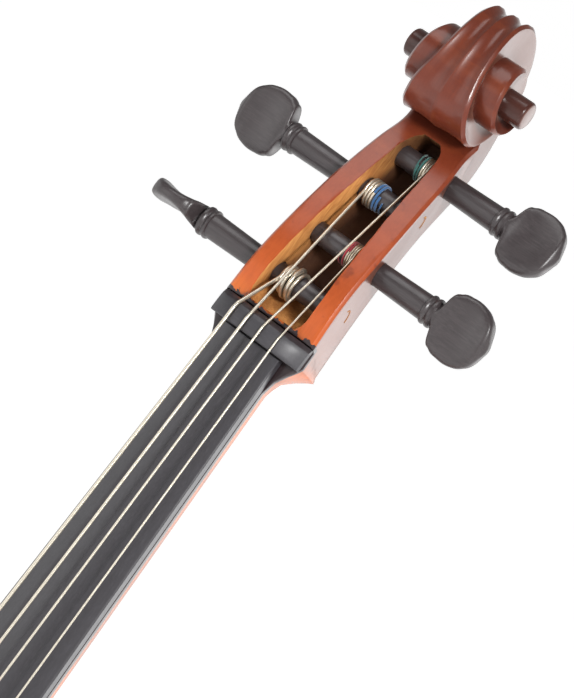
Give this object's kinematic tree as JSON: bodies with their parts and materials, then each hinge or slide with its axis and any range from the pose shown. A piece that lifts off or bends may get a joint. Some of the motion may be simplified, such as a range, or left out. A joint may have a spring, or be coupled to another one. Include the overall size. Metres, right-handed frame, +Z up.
{
  "type": "cello",
  "caption": "Full-size cello with tuning pegs, strings, bridge, tailpiece with fine tuners and a sliding endpin, built from separate fitted parts.",
  "frame": {"origin": "centre of the flat bottom of the endpin's rubber tip, on the floor", "axes": "+Z up towards the scroll, -Y is the front with the strings, +X is the treble side"},
  "size_m": [0.4398, 0.2727, 1.4702],
  "materials": {
    "varnished_maple": "gloss varnish",
    "varnished_spruce": "gloss varnish",
    "bare_spruce": "bare",
    "ebony": "satin",
    "bridge_maple": "bare",
    "string_steel": "satin",
    "steel": "bright",
    "black_resin": "satin",
    "nylon": "matt",
    "rubber": "matt"
  },
  "bodies": {
    "cello_body": {"back_plate": "varnished_maple", "bass_bar": "bare_spruce", "bottom_block": "bare_spruce", "bridge": "bridge_maple", "corner_block_lower_left": "bare_spruce", "corner_block_lower_right": "bare_spruce", "corner_block_upper_left": "bare_spruce", "corner_block_upper_right": "bare_spruce", "endpin_collar": "ebony", "fingerboard": "ebony", "lining_back_left": "bare_spruce", "lining_back_right": "bare_spruce", "lining_front_left": "bare_spruce", "lining_front_right": "bare_spruce", "neck_and_scroll": "varnished_maple", "nut": "ebony", "rib_lower_left": "varnished_maple", "rib_lower_right": "varnished_maple", "rib_upper_left": "varnished_maple", "rib_upper_right": "varnished_maple", "rib_waist_left": "varnished_maple", "rib_waist_right": "varnished_maple", "saddle": "ebony", "sound_post": "bare_spruce", "string_a": "string_steel", "string_c": "string_steel", "string_d": "string_steel", "string_g": "string_steel", "tail_gut": "nylon", "tailpiece": "black_resin", "top_block": "bare_spruce", "top_plate": "varnished_spruce", "tuner_axle": "steel"},
    "peg_c_body": {"peg_c": "ebony", "winding_c": "string_steel"},
    "peg_a_body": {"peg_a": "ebony", "winding_a": "string_steel"},
    "peg_g_body": {"peg_g": "ebony", "winding_g": "string_steel"},
    "peg_d_body": {"peg_d": "ebony", "winding_d": "string_steel"},
    "tuner_c_lever_body": {"tuner_lever_c": "steel"},
    "tuner_c_rod_body": {"tuner_rod_c": "steel"},
    "tuner_c_head_body": {"tuner_head_c": "steel"},
    "tuner_g_lever_body": {"tuner_lever_g": "steel"},
    "tuner_g_rod_body": {"tuner_rod_g": "steel"},
    "tuner_g_head_body": {"tuner_head_g": "steel"},
    "tuner_d_lever_body": {"tuner_lever_d": "steel"},
    "tuner_d_rod_body": {"tuner_rod_d": "steel"},
    "tuner_d_head_body": {"tuner_head_d": "steel"},
    "tuner_a_lever_body": {"tuner_lever_a": "steel"},
    "tuner_a_rod_body": {"tuner_rod_a": "steel"},
    "tuner_a_head_body": {"tuner_head_a": "steel"},
    "endpin_body": {"endpin_rod": "steel", "rubber_tip": "rubber"},
    "endpin_screw_body": {"endpin_thumb_screw": "steel"}
  },
  "joints": [
    {"name": "peg_c_turn", "type": "hinge", "parent": "cello_body", "child": "peg_c_body", "pos_m": [0, -0.01969, 1.3276], "axis": [1, 0, 0], "continuous": true},
    {"name": "peg_a_turn", "type": "hinge", "parent": "cello_body", "child": "peg_a_body", "pos_m": [0, -0.01037, 1.35053], "axis": [1, 0, 0], "continuous": true},
    {"name": "peg_g_turn", "type": "hinge", "parent": "cello_body", "child": "peg_g_body", "pos_m": [0, 0.00369, 1.37557], "axis": [1, 0, 0], "continuous": true},
    {"name": "peg_d_turn", "type": "hinge", "parent": "cello_body", "child": "peg_d_body", "pos_m": [0, 0.01476, 1.39515], "axis": [1, 0, 0], "continuous": true},
    {"name": "tuner_c_travel", "type": "slide", "parent": "cello_body", "child": "tuner_c_rod_body", "axis": [0, -0.9574, -0.2889], "range_m": [-0.0028, 0.0028]},
    {"name": "tuner_c_screw", "type": "hinge", "parent": "tuner_c_rod_body", "child": "tuner_c_head_body", "pos_m": [-0.0225, -0.12334, 0.48175], "axis": [0, -0.9574, -0.2889], "range_deg": [-1460, 1460]},
    {"name": "tuner_c_lever_tilt", "type": "hinge", "parent": "cello_body", "child": "tuner_c_lever_body", "pos_m": [-0.0225, -0.13947, 0.503], "axis": [1, 0, 0], "range_deg": [-6.72, 6.72]},
    {"name": "tuner_g_travel", "type": "slide", "parent": "cello_body", "child": "tuner_g_rod_body", "axis": [0, -0.9574, -0.2889], "range_m": [-0.0028, 0.0028]},
    {"name": "tuner_g_screw", "type": "hinge", "parent": "tuner_g_rod_body", "child": "tuner_g_head_body", "pos_m": [-0.0075, -0.12334, 0.48175], "axis": [0, -0.9574, -0.2889], "range_deg": [-1460, 1460]},
    {"name": "tuner_g_lever_tilt", "type": "hinge", "parent": "cello_body", "child": "tuner_g_lever_body", "pos_m": [-0.0075, -0.13947, 0.503], "axis": [1, 0, 0], "range_deg": [-6.72, 6.72]},
    {"name": "tuner_d_travel", "type": "slide", "parent": "cello_body", "child": "tuner_d_rod_body", "axis": [0, -0.9574, -0.2889], "range_m": [-0.0028, 0.0028]},
    {"name": "tuner_d_screw", "type": "hinge", "parent": "tuner_d_rod_body", "child": "tuner_d_head_body", "pos_m": [0.0075, -0.12334, 0.48175], "axis": [0, -0.9574, -0.2889], "range_deg": [-1460, 1460]},
    {"name": "tuner_d_lever_tilt", "type": "hinge", "parent": "cello_body", "child": "tuner_d_lever_body", "pos_m": [0.0075, -0.13947, 0.503], "axis": [1, 0, 0], "range_deg": [-6.72, 6.72]},
    {"name": "tuner_a_travel", "type": "slide", "parent": "cello_body", "child": "tuner_a_rod_body", "axis": [0, -0.9574, -0.2889], "range_m": [-0.0028, 0.0028]},
    {"name": "tuner_a_screw", "type": "hinge", "parent": "tuner_a_rod_body", "child": "tuner_a_head_body", "pos_m": [0.0225, -0.12334, 0.48175], "axis": [0, -0.9574, -0.2889], "range_deg": [-1460, 1460]},
    {"name": "tuner_a_lever_tilt", "type": "hinge", "parent": "cello_body", "child": "tuner_a_lever_body", "pos_m": [0.0225, -0.13947, 0.503], "axis": [1, 0, 0], "range_deg": [-6.72, 6.72]},
    {"name": "endpin_extend", "type": "slide", "parent": "cello_body", "child": "endpin_body", "axis": [0, 0, 1], "range_m": [0, 0.2]},
    {"name": "endpin_lock", "type": "hinge", "parent": "cello_body", "child": "endpin_screw_body", "pos_m": [0, 0.0053, 0.26], "axis": [0, 1, 0], "range_deg": [-540, 540]}
  ],
  "couplings": [
    {"joint": "tuner_c_screw", "follows": "tuner_c_travel", "rad_per_m": 8976},
    {"joint": "tuner_c_lever_tilt", "follows": "tuner_c_travel", "rad_per_m": -40},
    {"joint": "tuner_g_screw", "follows": "tuner_g_travel", "rad_per_m": 8976},
    {"joint": "tuner_g_lever_tilt", "follows": "tuner_g_travel", "rad_per_m": -40},
    {"joint": "tuner_d_screw", "follows": "tuner_d_travel", "rad_per_m": 8976},
    {"joint": "tuner_d_lever_tilt", "follows": "tuner_d_travel", "rad_per_m": -40},
    {"joint": "tuner_a_screw", "follows": "tuner_a_travel", "rad_per_m": 8976},
    {"joint": "tuner_a_lever_tilt", "follows": "tuner_a_travel", "rad_per_m": -40}
  ]
}
